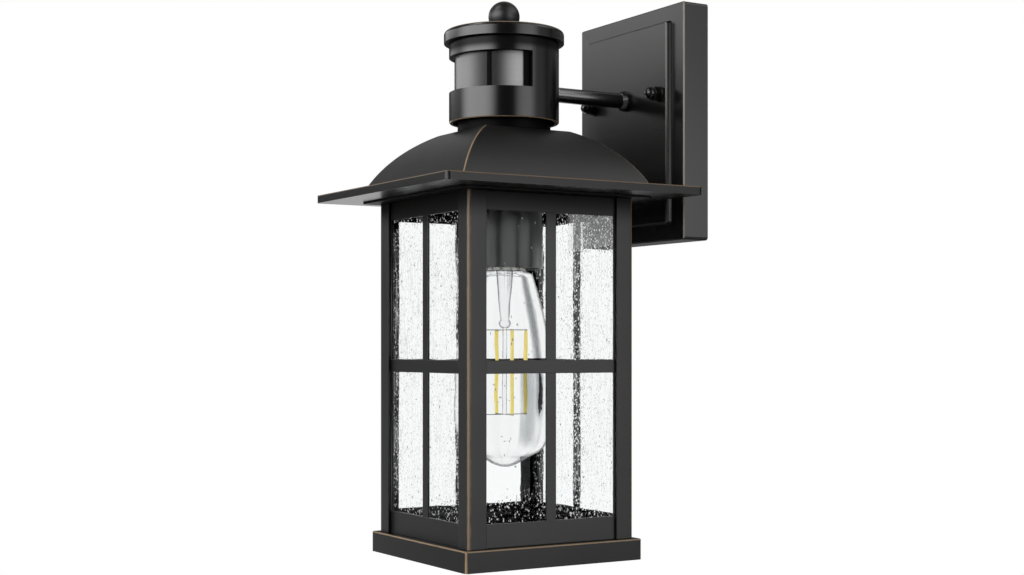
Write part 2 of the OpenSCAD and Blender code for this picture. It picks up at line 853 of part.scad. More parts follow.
// Hollow square frame, open in the middle, with an upstand inside the glass
module base_frame() {
    upstand_out = glass_in - 0.2;
    opening = glass_in - ledge_w;
    upstand_t = 1;
    color(metal) on_axis() translate([0, 0, base_z0]) {
        difference() {
            bevelled_plate(base_w, base_w, base_h, base_corner, base_bevel);
            translate([0, 0, -cut]) linear_extrude(base_h - base_wall + cut)
                rounded_rect(base_w - 2 * base_wall, base_w - 2 * base_wall, base_corner / 2);
            translate([0, 0, base_h / 2]) cube([2 * opening, 2 * opening, 2 * base_h], center = true);
        }
        translate([0, 0, base_h - base_wall]) linear_extrude(base_wall + upstand_h) difference() {
            square(2 * upstand_out, center = true);
            square(2 * (upstand_out - upstand_t), center = true);
        }
    }
}

// ---- bulb ----

// Point of a cubic curve through its end points p[0] and p[3]
function curve_at(p, t) =
    pow(1 - t, 3) * p[0] + 3 * t * pow(1 - t, 2) * p[1] + 3 * t * t * (1 - t) * p[2] + pow(t, 3) * p[3];
function curve(p, steps) = [for (i = [0:steps - 1]) curve_at(p, i / steps)];

// Half outline of the glass, from the shoulder to the nose, inset by a wall
bulb_widest = 70.5;
bulb_heel_r = 16;
bulb_heel_up = 6.9;
function bulb_outline(inset) = let (
        r = bulb_r - inset,
        shoulder_r = bulb_shoulder_d / 2 - inset,
        nose = inset - bulb_len,
        heel = [bulb_heel_r, nose + bulb_heel_up])
    concat(
        curve([[shoulder_r, -2], [shoulder_r + 4, -17], [r, -40], [r, -bulb_widest]], 14),
        curve([[r, -bulb_widest], [r, -87.5], [r, heel.y + 4.2], heel], 12),
        curve([heel, [heel.x - 5, heel.y - 1.8], [7, nose], [0, nose]], 8),
        [[0, nose]]);

// Blown glass with a neck that is cemented into the metal cap
module bulb_glass() {
    outer = bulb_outline(0);
    inner = bulb_outline(bulb_wall);
    n = len(inner);
    neck_out = [[neck_glass_r, neck_glass_h], [neck_glass_r, -0.2]];
    neck_in = [[neck_glass_r - bulb_wall, -0.2], [neck_glass_r - bulb_wall, neck_glass_h]];
    color([0.85, 0.90, 0.92, 0.4]) on_axis() translate([0, 0, bulb_z]) rotate_extrude()
        polygon(concat(neck_out, outer, [for (i = [n - 1:-1:0]) inner[i]], neck_in));
}

// Screw cap with rolled thread rings, closed by the insulator above
module bulb_cap() {
    r = bulb_cap_d / 2;
    ring = 1.2;
    root_r = r - 0.5;
    pitch = 3.63;
    shell_top = bulb_cap_h - insulator_h;
    shoulder_h = 2;
    color(brass) on_axis() translate([0, 0, bulb_z]) rotate_extrude() difference() {
        union() {
            square([root_r, shell_top - shoulder_h]);
            for (i = [1:4]) translate([r - ring, (i + 0.5) * pitch]) circle(ring, $fn = 24);
            translate([0, shell_top - shoulder_h])
                polygon([[0, 0], [root_r, 0], [insulator_r + 0.3, shoulder_h], [0, shoulder_h]]);
        }
        translate([-cut, -cut]) square([r - cap_wall + cut, neck_glass_h + 1 + cut]);
        translate([-cut, neck_glass_h])
            square([r - 2 * ring + cut, shell_top - shoulder_h - neck_glass_h]);
        translate([-cut, 0]) square([0.75 * insulator_r + cut, bulb_cap_h]);
    }
}

// Dark insulator and solder contact on top of the cap
module bulb_contact() {
    button_h = 0.3 * insulator_h;
    top_r = 0.62 * insulator_r;
    color([0.10, 0.09, 0.09]) on_axis() translate([0, 0, bulb_cap_z1 - insulator_h]) {
        cylinder(r1 = insulator_r, r2 = top_r, h = insulator_h - button_h);
        translate([0, 0, insulator_h - button_h]) cylinder(r1 = 0.9 * top_r, r2 = 0.5 * top_r, h = button_h);
    }
}

// Glass stem: flare in the neck, tapered tube, bead and long rod
bead_z = -stem_len;
filament_z1 = bead_z - bead_d / 2 - 1;
filament_z0 = filament_z1 - filament_len;
lead_pad_t = 0.35 * filament_d;
module bulb_stem() {
    flare_r = neck_glass_r - bulb_wall - fit_gap;
    flare_z = neck_glass_h - flare_t;
    color([0.85, 0.90, 0.92, 0.4]) on_axis() translate([0, 0, bulb_z]) {
        translate([0, 0, flare_z]) cylinder(r = flare_r, h = flare_t);
        translate([0, 0, bead_z])
            cylinder(r1 = 0.7 * bead_d / 2, r2 = 1.5 * bead_d / 2, h = flare_z - bead_z);
        translate([0, 0, bead_z]) sphere(bead_d / 2);
        translate([0, 0, filament_z0 - lead_pad_t])
            cylinder(r = stem_rod_d / 2, h = bead_z - filament_z0);
    }
}

// Places a piece at each filament, the first one turned from the right
module at_filaments() {
    for (i = [0:filament_n - 1])
        on_axis() rotate([0, 0, filament_turn + i * 360 / filament_n])
            translate([0, 0, bulb_z]) children();
}

// Upright glowing rods
module bulb_filaments() {
    color([1.0, 0.85, 0.35]) at_filaments()
        translate([filament_ring_r, 0, filament_z0]) cylinder(d = filament_d, h = filament_len);
}

// Wires from the bead and from the rod's foot, with a pad on each filament end
module bulb_leads() {
    wire_r = 0.25;
    wire_x = stem_rod_d / 2 + fit_gap;
    wire_len = filament_ring_r - filament_d / 2 + fit_gap - wire_x;
    color(zinc) at_filaments() {
        for (z = [filament_z1, filament_z0 - lead_pad_t])
            translate([filament_ring_r, 0, z]) cylinder(d = filament_d, h = lead_pad_t);
        for (z = [filament_z1 + lead_pad_t / 2, filament_z0 - lead_pad_t / 2])
            translate([wire_x, 0, z]) rotate([0, 90, 0]) cylinder(r = wire_r, h = wire_len, $fn = 16);
    }
}

back_plate();
mounting_bar();
fixture_studs();
stud_nuts();
cap_nut_left();
cap_nut_right();
cap_nut_washers();
ground_screw();
arm_tube();
plate_collar();
drum_collar();
arm_lock_nuts();
sensor_drum();
lens_frame();
sensor_lens();
sensor_carrier();
sensor_board();
motion_detectors();
control_module();
drum_cap();
finial();
finial_screw();
neck_ring();
roof_dome();
roof_brim();
top_plate();
centre_tube();
centre_nuts();
socket_cup();
lamp_holder();
screw_shell();
centre_contact();
post_front_left();
post_front_right();
post_back_left();
post_back_right();
grille_front();
grille_back();
grille_left();
grille_right();
pane_front();
pane_back();
pane_left();
pane_right();
glass_clips();
base_frame();
bulb_glass();
bulb_cap();
bulb_contact();
bulb_stem();
bulb_filaments();
bulb_leads();
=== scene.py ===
import math

import bmesh
import bpy
from mathutils import Matrix, Vector


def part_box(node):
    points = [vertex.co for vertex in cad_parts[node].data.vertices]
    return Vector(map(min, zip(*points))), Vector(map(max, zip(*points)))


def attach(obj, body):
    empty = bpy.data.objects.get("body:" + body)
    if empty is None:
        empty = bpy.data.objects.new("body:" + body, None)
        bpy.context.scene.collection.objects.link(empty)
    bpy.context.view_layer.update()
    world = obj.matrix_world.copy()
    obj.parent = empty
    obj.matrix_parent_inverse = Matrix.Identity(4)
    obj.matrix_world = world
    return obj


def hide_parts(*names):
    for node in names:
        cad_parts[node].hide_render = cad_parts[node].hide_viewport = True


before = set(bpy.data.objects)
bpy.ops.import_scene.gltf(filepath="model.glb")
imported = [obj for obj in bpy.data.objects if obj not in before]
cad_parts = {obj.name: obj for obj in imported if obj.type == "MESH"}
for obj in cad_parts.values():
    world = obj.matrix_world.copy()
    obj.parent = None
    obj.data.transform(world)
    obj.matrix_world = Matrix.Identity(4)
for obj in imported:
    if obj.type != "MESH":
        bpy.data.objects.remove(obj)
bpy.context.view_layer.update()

# ---- Wall plate ----
# The plate that covers the junction box and carries the arm: one aluminium die
# casting with a raised panel. It is powder coated black, and the coat is rubbed
# through to brown bronze along its edges.

plate_low, plate_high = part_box("back_plate")
plate_middle = (plate_low.z + plate_high.z) / 2
panel_half_w, panel_half_h, panel_rise = 0.0435, 0.0615, 0.0036
panel_foot = plate_middle - panel_half_h
shoulder_y = plate_low.y + panel_rise
black_coat = (0.0042, 0.0040, 0.0039, 1)
brown_bronze = (0.135, 0.092, 0.056, 1)
grey_bronze = (0.135, 0.108, 0.08, 1)


class Amount:
    """A node's output that arithmetic can be written on: each operator adds its own node."""

    def __init__(self, recipe, socket):
        self.recipe, self.socket = recipe, socket

    def maths(self, operation, *terms):
        return self.recipe.node("ShaderNodeMath", {"operation": operation}, dict(enumerate(terms)))

    def __add__(self, other):
        return self.maths("ADD", self, other)

    def __sub__(self, other):
        return self.maths("SUBTRACT", self, other)

    def __rsub__(self, other):
        return self.maths("SUBTRACT", other, self)

    def __mul__(self, other):
        return self.maths("MULTIPLY", self, other)

    def __pow__(self, other):
        return self.maths("POWER", self, other)

    def __abs__(self):
        return self.maths("ABSOLUTE", self)

    __radd__ = __add__
    __rmul__ = __mul__

    def at_most(self, other):
        return self.maths("MINIMUM", self, other)

    def at_least(self, other):
        return self.maths("MAXIMUM", self, other)

    def fraction(self):
        """What is left of an amount without its whole number."""
        return self.maths("FRACT", self)

    def angle_from(self, other):
        """The angle, in radians, whose tangent is this amount over the other."""
        return self.maths("ARCTAN2", self, other)

    def rise(self, low, high):
        """0 below low and 1 above high, with a soft step between; falls where low is the larger."""
        return self.recipe.node(
            "ShaderNodeMapRange",
            {"interpolation_type": "SMOOTHSTEP"},
            {"Value": self, "From Min": low, "From Max": high},
        )

    def part(self, name):
        """Another output of the same node."""
        return Amount(self.recipe, self.socket.node.outputs[name])


class Recipe:
    """A node tree that is being wired, for a finish, a shape or the surround."""

    def __init__(self, tree):
        self.tree = tree

    def node(self, kind, settings=None, sockets=None, out=0):
        """Adds a node: its settings first, then the values or links of its sockets."""
        made = self.tree.nodes.new(kind)
        for name, value in (settings or {}).items():
            setattr(made, name, value)
        for key, value in (sockets or {}).items():
            if isinstance(value, Amount):
                self.tree.links.new(value.socket, made.inputs[key])
            else:
                made.inputs[key].default_value = value
        return Amount(self, made.outputs[out]) if made.outputs else None

    def vector(self, operation, *terms, out="Vector"):
        """Vector maths on places and directions."""
        settings = {"operation": operation}
        return self.node("ShaderNodeVectorMath", settings, dict(enumerate(terms)), out)

    def layered(self, share, under, over):
        """One shader laid over another, by share."""
        return self.node("ShaderNodeMixShader", {}, {0: share, 1: under, 2: over})


class Finish(Recipe):
    """A surface finish. Its patterns sit on the piece, in metres."""

    def __init__(self, name):
        self.material = bpy.data.materials.new(name)
        self.material.use_nodes = True
        super().__init__(self.material.node_tree)
        self.tree.nodes.clear()
        self.place = self.node("ShaderNodeTexCoord", out="Object")

    def at(self, axis):
        """The place on the piece along one axis."""
        return self.node("ShaderNodeSeparateXYZ", {}, {0: self.place}).part(axis)

    def facing(self, axis):
        """How far the surface looks along one axis: 1 along it, -1 against it."""
        outward = self.node("ShaderNodeNewGeometry", out="Normal")
        return self.node("ShaderNodeSeparateXYZ", {}, {0: outward}).part(axis)

    def noise(self, scale, detail=2.0, place=None, roughness=0.5):
        """A cloudy pattern; the larger its scale, the finer."""
        return self.node(
            "ShaderNodeTexNoise",
            {},
            {"Vector": place or self.place, "Scale": scale, "Detail": detail, "Roughness": roughness},
        )

    def blend(self, share, first, second):
        """A colour between two, by share."""
        return self.node(
            "ShaderNodeMix", {"data_type": "RGBA"}, {0: share, 6: first, 7: second}, out=2
        )

    def relief(self, height, depth):
        """Bump of the given depth in metres from a height of 0 to 1."""
        return self.node("ShaderNodeBump", {}, {"Height": height, "Distance": depth})

    def surface(self, **sockets):
        """A Principled surface; underscores in the names stand for spaces."""
        named = {key.replace("_", " "): value for key, value in sockets.items()}
        return self.node("ShaderNodeBsdfPrincipled", {}, named)

    def done(self, surface):
        """The material, once its surface is made."""
        self.node("ShaderNodeOutputMaterial", {}, {"Surface": surface})
        return self.material


def shaded(colour, share):
    """The same colour, darker."""
    return tuple(share * c for c in colour[:3]) + (1,)


def rubbed_black(
    name, wear=1.0, coat_roughness=0.36, grain_depth=0.00003, shine=0.5, index=1.5, painted_shade=None,
    bronze=brown_bronze, coat=black_coat,
):
    """Satin black powder coat with an orange-peel skin, rubbed to bronze on marked edges.
    shine and index set how strongly the coat mirrors. The painted-shade test, where given, takes the
    finish and gives the share of it laid over with a dark, dull surface: painted shade where light is
    kept off the piece."""
    finish = Finish(name)
    cloud = finish.noise(35, 3)
    skin = finish.noise(1400, 3, roughness=0.65)
    patchy = finish.noise(90, 4, roughness=0.7)
    marked = finish.node("ShaderNodeAttribute", {"attribute_name": "rubbed"}, out="Fac")
    bare = (marked * wear * (patchy * 1.2 + 0.4)).rise(0.15, 0.85)
    black = finish.blend(cloud.rise(0.35, 0.7), coat, shaded(coat, 0.72))
    skinned = finish.surface(
        Base_Color=finish.blend(bare, black, bronze),
        Roughness=coat_roughness + (skin - 0.5) * 0.05 + (cloud - 0.5) * 0.06 + bare * 0.06,
        Specular_IOR_Level=shine,
        IOR=index,
        Normal=finish.relief(skin, grain_depth),
    )
    # Painted shade: a dark, dull surface laid over the coat by the given share.
    if painted_shade:
        shade_surface = finish.surface(Base_Color=black, Roughness=0.7, Specular_IOR_Level=0.05)
        skinned = finish.layered(painted_shade(finish) * (1 - bare), skinned, shade_surface)
    return finish.done(skinned)


def mark_rubbed(shape, rubbed_at):
    """Marks the rounded edges where the coat is rubbed through: most where they stand out most.
    A rounding is told by its strips, which are narrow for their length."""
    strip_width, at_border = 0.0009, 0.3
    shape.normal_update()
    layer = shape.loops.layers.float.new("rubbed")
    rounding = {
        f for f in shape.faces
        if f.calc_area() < strip_width * max(e.calc_length() for e in f.edges)
    }
    for face in rounding:
        if rubbed_at(face.calc_center_median()):
            for corner in face.loops:
                inside = all(f in rounding for f in corner.vert.link_faces)
                turns = sorted(abs(part) for part in corner.vert.normal)
                corner[layer] = min(turns[1] / turns[2], 1.0 if inside else at_border)


def plain_object(name, mesh, *finishes):
    """A mesh placed in the scene with its finishes."""
    made = bpy.data.objects.new(name, mesh)
    bpy.context.scene.collection.objects.link(made)
    for finish in finishes:
        mesh.materials.append(finish)
    return made


def settled(piece):
    """The piece with its modifiers worked into its mesh."""
    depsgraph = bpy.context.evaluated_depsgraph_get()
    mesh = bpy.data.meshes.new_from_object(piece.evaluated_get(depsgraph))
    piece.modifiers.clear()
    piece.data = mesh
    return piece


def rounded(shape, edges, width, steps):
    """Rounds the edges off, width wide and in that many steps."""
    bmesh.ops.bevel(
        shape, geom=edges, offset=width, segments=steps, profile=0.5, affect="EDGES",
        clamp_overlap=True,
    )


def dressed(
    node, finish, edge=0.0005, sharp=32.0, steps=3, body="lantern", rubbed_at=None, wide=None,
    draft=None,
):
    """A copy of a CAD piece with its outer edges rounded off, which then stands for it.
    Outer edges that turn by more than sharp degrees get a rounding as wide as edge says. wide
    holds a test for the edges that get a broader one, its width and its steps. rubbed_at tells
    from a place on the piece whether its edges are rubbed there. draft leans the walls of the
    copy as the casting's do."""
    weld_gap, flat_angle, least_crease = 1e-6, math.radians(0.4), 35.0
    shape = bmesh.new()
    shape.from_mesh(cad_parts[node].data)
    bmesh.ops.remove_doubles(shape, verts=shape.verts, dist=weld_gap)
    bmesh.ops.dissolve_limit(shape, angle_limit=flat_angle, verts=shape.verts, edges=shape.edges)
    if draft:
        draft(shape)

    def outer_edges(test=None):
        return [
            e for e in shape.edges
            if e.is_manifold and e.calc_face_angle_signed() > math.radians(sharp)
            and (test is None or all(test(v.co) for v in e.verts))
        ]

    if wide:
        rounded(shape, outer_edges(wide[0]), *wide[1:])
    if outer_edges():
        rounded(shape, outer_edges(), edge, steps)
    if rubbed_at:
        mark_rubbed(shape, rubbed_at)
    mesh = bpy.data.meshes.new(node + "_finished")
    shape.to_mesh(mesh)
    shape.free()
    mesh.set_sharp_from_angle(angle=math.radians(max(sharp, least_crease)))
    piece = plain_object(node + "_finished", mesh, finish)
    weighting = piece.modifiers.new("even", "WEIGHTED_NORMAL")
    weighting.keep_sharp = True
    settled(piece)
    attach(piece, body)
    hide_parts(node)
    return piece


def plate_shade(finish):
    """Painted shade on the plate, standing for the shadow of the roof, the arm and the drum: a little
    all over the front, more and more on the way down from the arm and in from the left, and most on
    the panel's lower edge and the margin below it. On the sides it is more at the top. The arm's
    middle is at x = 0 and z = 0."""
    height, across = finish.at("Z"), finish.at("X")
    shade_below_panel = height.rise(panel_foot + 0.0022, panel_foot + 0.0014) * 0.9
    arm_shadow = height.rise(0.02, -0.04) * across.rise(-0.056, -0.022) * 0.82
    front = shade_below_panel.at_least(arm_shadow) * 0.84 + 0.16
    side = height.rise(-0.08, 0.06) * 0.24
    sideways = abs(finish.facing("X")).rise(0.75, 0.9)
    return front + (side - front) * sideways


# The plate's coat carries painted shade where the roof, the arm and the drum shade the plate.
cast_black = rubbed_black(
    "cast_black", wear=1.2, coat_roughness=0.25, grain_depth=0.000002, shine=0.68, painted_shade=plate_shade,
    bronze=grey_bronze,
)


def leaning_panel(shape):
    """The panel's walls lean in as a casting's do: by 26 degrees at the foot and 6 above it."""
    foot_lean, wall_lean = math.tan(math.radians(26)), math.tan(math.radians(6))
    foot_depth, border = 0.0012, 0.0019
    bmesh.ops.bisect_plane(
        shape, geom=shape.verts[:] + shape.edges[:] + shape.faces[:],
        plane_co=(0, shoulder_y - foot_depth, 0), plane_no=(0, 1, 0),
    )
    for vert in shape.verts:
        p = vert.co
        height = p.z - plate_middle
        at_wall = abs(p.x) > panel_half_w - border or abs(height) > panel_half_h - border
        if at_wall and p.y < shoulder_y:
            foot = min(shoulder_y - p.y, foot_depth)
            above = shoulder_y - p.y - foot
            inward = foot * foot_lean + above * wall_lean
            height = height * (1 - inward / panel_half_h)
            vert.co = (p.x * (1 - inward / panel_half_w), p.y, plate_middle + height)


def rubbed_on_plate(p):
    """The plate's two upright front edges, and the panel's edge on its right."""
    near, side_depth = 0.001, 0.004
    near_panel, panel_depth = 0.0035, 0.0011
    between = plate_low.z + near < p.z < plate_high.z - near
    at_side = abs(p.x) > plate_high.x - near and p.y < shoulder_y + side_depth
    on_panel = p.x > panel_half_w - near_panel and p.y < plate_low.y + panel_depth
    return between and (at_side or on_panel)


dressed(
    "back_plate", cast_black, edge=0.0004, rubbed_at=rubbed_on_plate,
    draft=leaning_panel,
)

# ---- Wall fixing ----
# A pressed steel bar screws to the junction box. Two studs locked into it pass
# through the plate, and domed cap nuts on washers clamp the plate against the wall.
# The bar, its lock nuts and the studs are zinc plated; the ground screw is green.


def plated(name, colour, roughness=0.32):
    """Bright plating with faint crystals and handling marks."""
    finish = Finish(name)
    crystals = finish.node(
        "ShaderNodeTexVoronoi", {}, {"Vector": finish.place, "Scale": 420.0}, out="Color"
    )
    grey = finish.node("ShaderNodeSeparateColor", {}, {"Color": crystals})
    haze = finish.noise(160, 3)
    return finish.done(
        finish.surface(
            Base_Color=finish.blend(grey * 0.5 + haze * 0.5, shaded(colour, 0.82), colour),
            Metallic=1.0,
            Roughness=roughness + haze * 0.14,
            Normal=finish.relief(haze, 0.00002),
        )
    )


zinc = plated("zinc_plate", (0.60, 0.60, 0.61, 1))
green_zinc = plated("green_zinc", (0.06, 0.27, 0.11, 1))
smooth_black = rubbed_black("smooth_black", wear=0.8, coat_roughness=0.2, grain_depth=0.000004)
for plated_node in ("mounting_bar", "stud_nuts"):
    dressed(plated_node, zinc, edge=0.0002)
dressed("ground_screw", green_zinc, edge=0.0003)
dressed("fixture_studs", zinc, edge=0.0002)
dressed("cap_nut_washers", smooth_black, edge=0.0002)
for cap_nut in ("cap_nut_left", "cap_nut_right"):
    dressed(cap_nut, smooth_black, edge=0.00035, body=cap_nut)

# ---- Arm ----
# A straight steel tube that carries the leads from the plate into the drum, with a
# tapered collar at the plate, a plain one at the drum and a lock nut inside each.

tube_black = rubbed_black(
    "tube_black", coat_roughness=0.24, grain_depth=0.000003, shine=1.0, index=1.7
)
for arm_node in ("arm_tube", "plate_collar", "drum_collar"):
    dressed(arm_node, tube_black, edge=0.0004)
dressed("arm_lock_nuts", zinc, edge=0.0003)

# ---- Sensor drum ----
# An aluminium drum with a half-round window. Behind it a black plastic frame with
# two ribs holds the smoked lens, and two detectors on a small board look out of it.
# A cap with a ball finial screws down on top, and a neck ring joins it to the roof.

drum_low, drum_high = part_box("sensor_drum")
cap_low, cap_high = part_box("drum_cap")
lens_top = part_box("sensor_lens")[1].z
axis_x, axis_y = (drum_low.x + drum_high.x) / 2, (drum_low.y + drum_high.y) / 2
worn_bronze = (0.23, 0.162, 0.096, 1)


# Used as painted shade on the undersides of the drum, the cap and the finial.
def looking_down(finish):
    """1 on faces that look down, 0 on the others."""
    return finish.facing("Z").rise(-0.4, -0.8)


def shade_under_cap(finish):
    """Painted shade: a painted shadow close under the lip of the cap, and painted shade where the drum
    looks down.
    """
    lip_shadow = finish.at("Z").rise(cap_low.z - 0.0045, cap_low.z - 0.0005) * 0.85
    return lip_shadow.at_least(looking_down(finish))


def rubbed_on_drum(p):
    """The outer edge of the drum's underside."""
    off_axis = math.hypot(p.x - axis_x, p.y - axis_y)
    return p.z < drum_low.z + 0.00045 and off_axis > drum_high.x - 0.001


# The drum's coat carries painted shade under the cap's lip and on its underside.
drum_black = rubbed_black(
    "drum_black", wear=1.5, coat_roughness=0.18, grain_depth=0.000002, bronze=worn_bronze,
    painted_shade=shade_under_cap,
)
dressed(
    "sensor_drum", drum_black, edge=0.0005, rubbed_at=rubbed_on_drum
)


def moulded(name, colour, roughness=0.5, shine=0.5):
    """Injection-moulded plastic with a fine spark-eroded skin."""
    finish = Finish(name)
    skin = finish.noise(2200, 2)
    cloud = finish.noise(70, 2)
    return finish.done(
        finish.surface(
            Base_Color=finish.blend(cloud, shaded(colour, 0.88), colour),
            Roughness=roughness + (skin - 0.5) * 0.2,
            Specular_IOR_Level=shine,
            Normal=finish.relief(skin, 0.00001),
        )
    )


def turn_round_axis(finish):
    """The angle round the lantern's upright axis: 0 at its front, more towards its right."""
    return (finish.at("X") - axis_x).angle_from(axis_y - finish.at("Y"))


def smoked_lens():
    """Smoked plastic with painted light and shade: palest midway between the ribs of its frame and on
    its right, and darker close under its top, a painted shadow. Fine level lines run round it."""
    finish = Finish("smoked_lens")
    dark_smoke, painted_lit_smoke = (0.004, 0.004, 0.004, 1), (0.42, 0.42, 0.424, 1)
    rib_turn, fade_turn = math.radians(42.6), math.radians(36)
    turn = turn_round_axis(finish)
    from_rib = abs(abs(turn) - rib_turn).rise(0, fade_turn) ** 1.2
    on_right = turn.rise(math.radians(44), math.radians(70))
    below_top = finish.at("Z").rise(lens_top, lens_top - 0.004)
    # Painted light and a painted shadow, laid into the plastic's colour.
    painted_light = from_rib * (on_right * 0.45 + 0.55) * (below_top * 0.5 + 0.5)
    lines = finish.node(
        "ShaderNodeTexWave",
        {"bands_direction": "Z"},
        {"Vector": finish.place, "Scale": 90.0},
        out="Fac",
    )
    return finish.done(
        finish.surface(
            Base_Color=finish.blend(painted_light * (0.98 + lines * 0.02), dark_smoke, painted_lit_smoke),
            Roughness=0.2 + lines * 0.02,
            Specular_IOR_Level=0.12,
        )
    )


frame_black = moulded("frame_black", (0.001, 0.001, 0.001, 1), shine=0.04)
carrier_white = moulded("carrier_white", (0.78, 0.78, 0.75, 1))
board_green = moulded("board_green", (0.04, 0.22, 0.09, 1), roughness=0.35)
nickel_can = plated("nickel_can", (0.68, 0.68, 0.67, 1), roughness=0.22)
relay_black = moulded("relay_black", (0.03, 0.03, 0.035, 1))
dressed("lens_frame", frame_black, edge=0.0002)
dressed("sensor_lens", smoked_lens(), edge=0.0001)
dressed("sensor_carrier", carrier_white, edge=0.0003)
dressed("sensor_board", board_green, edge=0.0001)
dressed("motion_detectors", nickel_can, edge=0.0003)
dressed("control_module", relay_black, edge=0.0004)


def rubbed_on_cap(p):
    """The rounding just below the top of the cap."""
    return cap_high.z - 0.0009 < p.z < cap_high.z - 0.00001


# Painted shade on the undersides of the cap and the finial.
cap_black = rubbed_black("cap_black", coat_roughness=0.18, grain_depth=0.000002, painted_shade=looking_down)
dressed("drum_cap", cap_black, edge=0.0004, rubbed_at=rubbed_on_cap)
finial_black = rubbed_black(
    "finial_black", coat_roughness=0.4, grain_depth=0.000002, painted_shade=looking_down
)
dressed("finial", finial_black, edge=0.0003)
dressed("finial_screw", zinc, edge=0.0002)
# The neck's darker coat, with almost no shine, is painted shade for the drum's shadow on it.
neck_shade_black = rubbed_black(
    "neck_shade_black", coat_roughness=0.45, grain_depth=0.00002, shine=0.04,
    coat=(0.0012, 0.0012, 0.0012, 1),
)
dressed("neck_ring", neck_shade_black, edge=0.0004)

# ---- Roof ----
# A square domed casting with four curved sides that meet in hips, on a flat square
# brim. A thin steel plate closes it from below and carries the cage.

dome_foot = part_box("roof_dome")[0].z
brim_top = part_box("roof_brim")[1].z
top_plate_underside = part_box("top_plate")[0].z


def rubbed_on_dome(p):
    """The four hips, where the dome is as far from the axis along x as along y."""
    off_diagonal = abs(p.x - axis_x) - abs(p.y - axis_y)
    return p.z > dome_foot + 0.0002 and abs(off_diagonal) < 0.0008


def rubbed_on_brim(p):
    """The brim's upper edge."""
    return p.z > brim_top - 0.0012


def roof_shadow(reach):
    """Gives a finish its share of painted shade, a painted shadow of the roof: most right under the
    top plate, and none past reach below it."""
    top = top_plate_underside
    return lambda finish: finish.at("Z").rise(top - reach, top) * 0.85


dome_black = rubbed_black(
    "dome_black", wear=1.3, coat_roughness=0.42, grain_depth=0.00006, bronze=worn_bronze
)
dressed(
    "roof_dome", dome_black, edge=0.0006, sharp=16,
    rubbed_at=rubbed_on_dome,
)
brim_black = rubbed_black("brim_black", coat_roughness=0.3, grain_depth=0.000002, shine=0.32)
dressed("roof_brim", brim_black, edge=0.0003, rubbed_at=rubbed_on_brim)
# The top plate and grilles carry a painted shadow of the roof.
steel_black = rubbed_black(
    "steel_black", coat_roughness=0.34, grain_depth=0.00001, shine=0.46, painted_shade=roof_shadow(0.026)
)
dressed("top_plate", steel_black, edge=0.0002)

# ---- Lamp holder ----
# A threaded tube with two lock nuts hangs the lamp holder from the roof. A spun cup
# hides the glazed ceramic holder with its brass screw shell and centre contact.

brass = plated("brass", (0.70, 0.52, 0.26, 1), roughness=0.26)
cup_grey = rubbed_black(
    "cup_grey", wear=0.5, coat_roughness=0.3, grain_depth=0.000002, shine=1.0, index=1.56
)


def porcelain():
    """Glazed porcelain with a faint crawl in the glaze."""
    finish = Finish("porcelain")
    crawl = finish.noise(220, 3)
    return finish.done(
        finish.surface(
            Base_Color=finish.blend(crawl, (0.80, 0.79, 0.75, 1), (0.88, 0.87, 0.83, 1)),
            Roughness=0.12 + crawl * 0.1,
            Normal=finish.relief(crawl, 0.00002),
        )
    )


dressed("centre_tube", zinc, edge=0.0002)
dressed("centre_nuts", zinc, edge=0.0003)
dressed("socket_cup", cup_grey, edge=0.0003)
dressed("lamp_holder", porcelain(), edge=0.0005)
dressed("screw_shell", brass, edge=0.0001)
dressed("centre_contact", brass, edge=0.0001)

# ---- Cage ----
# Four folded corner posts and four pressed grilles of steel sheet, welded to the top
# plate. Each grille has a rail across its middle and one upright glazing bar.

post_low, post_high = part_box("post_front_right")
cage_half = post_high.x - axis_x
fold_width, fold_steps = 0.0022, 6
# The posts carry a painted shadow of the roof near their tops.
post_black = rubbed_black(
    "post_black", wear=1.3, coat_roughness=0.38, grain_depth=0.00001, shine=0.45,
    painted_shade=roof_shadow(0.018),
)


def at_outer_corner(half):
    """Tells whether a place is at an upright corner of a square of that half width."""
    near = half - 0.0024
    return lambda p: abs(p.x - axis_x) > near and abs(p.y - axis_y) > near


on_fold = at_outer_corner(cage_half)
for corner in ("front_left", "front_right", "back_left", "back_right"):
    dressed(
        "post_" + corner, post_black, edge=0.0003, steps=2,
        rubbed_at=on_fold, wide=(on_fold, fold_width, fold_steps),
    )
for side in ("front", "back", "left", "right"):
    dressed("grille_" + side, steel_black, edge=0.0003)

# ---- Glass ----
# Four panes of seeded glass: drawn sheet with small bubbles and upright reams in it.
# They stand on the base inside the grilles, and bent clips hold them at the top.

pane_low, pane_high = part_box("pane_front")
pane_height = pane_high.z - pane_low.z


class ClearFinish(Finish):
    """A finish that lets light through."""

    def spread(self, stretch):
        """The place on the piece, scaled by a different amount along x, y and z."""
        return self.node("ShaderNodeMapping", {}, {"Vector": self.place, "Scale": stretch})

    def drawn(self, stretch, detail=2, roughness=0.5):
        """A cloudy pattern drawn out by different amounts along x, y and z."""
        return self.noise(1, detail, self.spread(stretch), roughness)

    def edge_on(self, blend=0.5):
        """0 where the surface faces the eye, 1 where it is seen edge-on."""
        return self.node("ShaderNodeLayerWeight", {}, {"Blend": blend}, out="Facing")

    def glancing(self, straight_on):
        """Share of light that clear glass reflects: small straight on, more at a glance."""
        return self.edge_on() ** 5 * (0.6 - straight_on) + straight_on

    def straight_through(self, tint):
        """Light that passes without a bend."""
        return self.node("ShaderNodeBsdfTransparent", {}, {"Color": tint})

    def bent_through(self, index, normal, tint):
        """Light that is bent on its way through."""
        return self.node(
            "ShaderNodeBsdfRefraction",
            {},
            {"IOR": index, "Roughness": 0.0, "Normal": normal, "Color": tint},
        )

    def mirror(self, **sockets):
        """The reflection on the skin of the glass."""
        return self.node("ShaderNodeBsdfGlossy", {}, sockets)


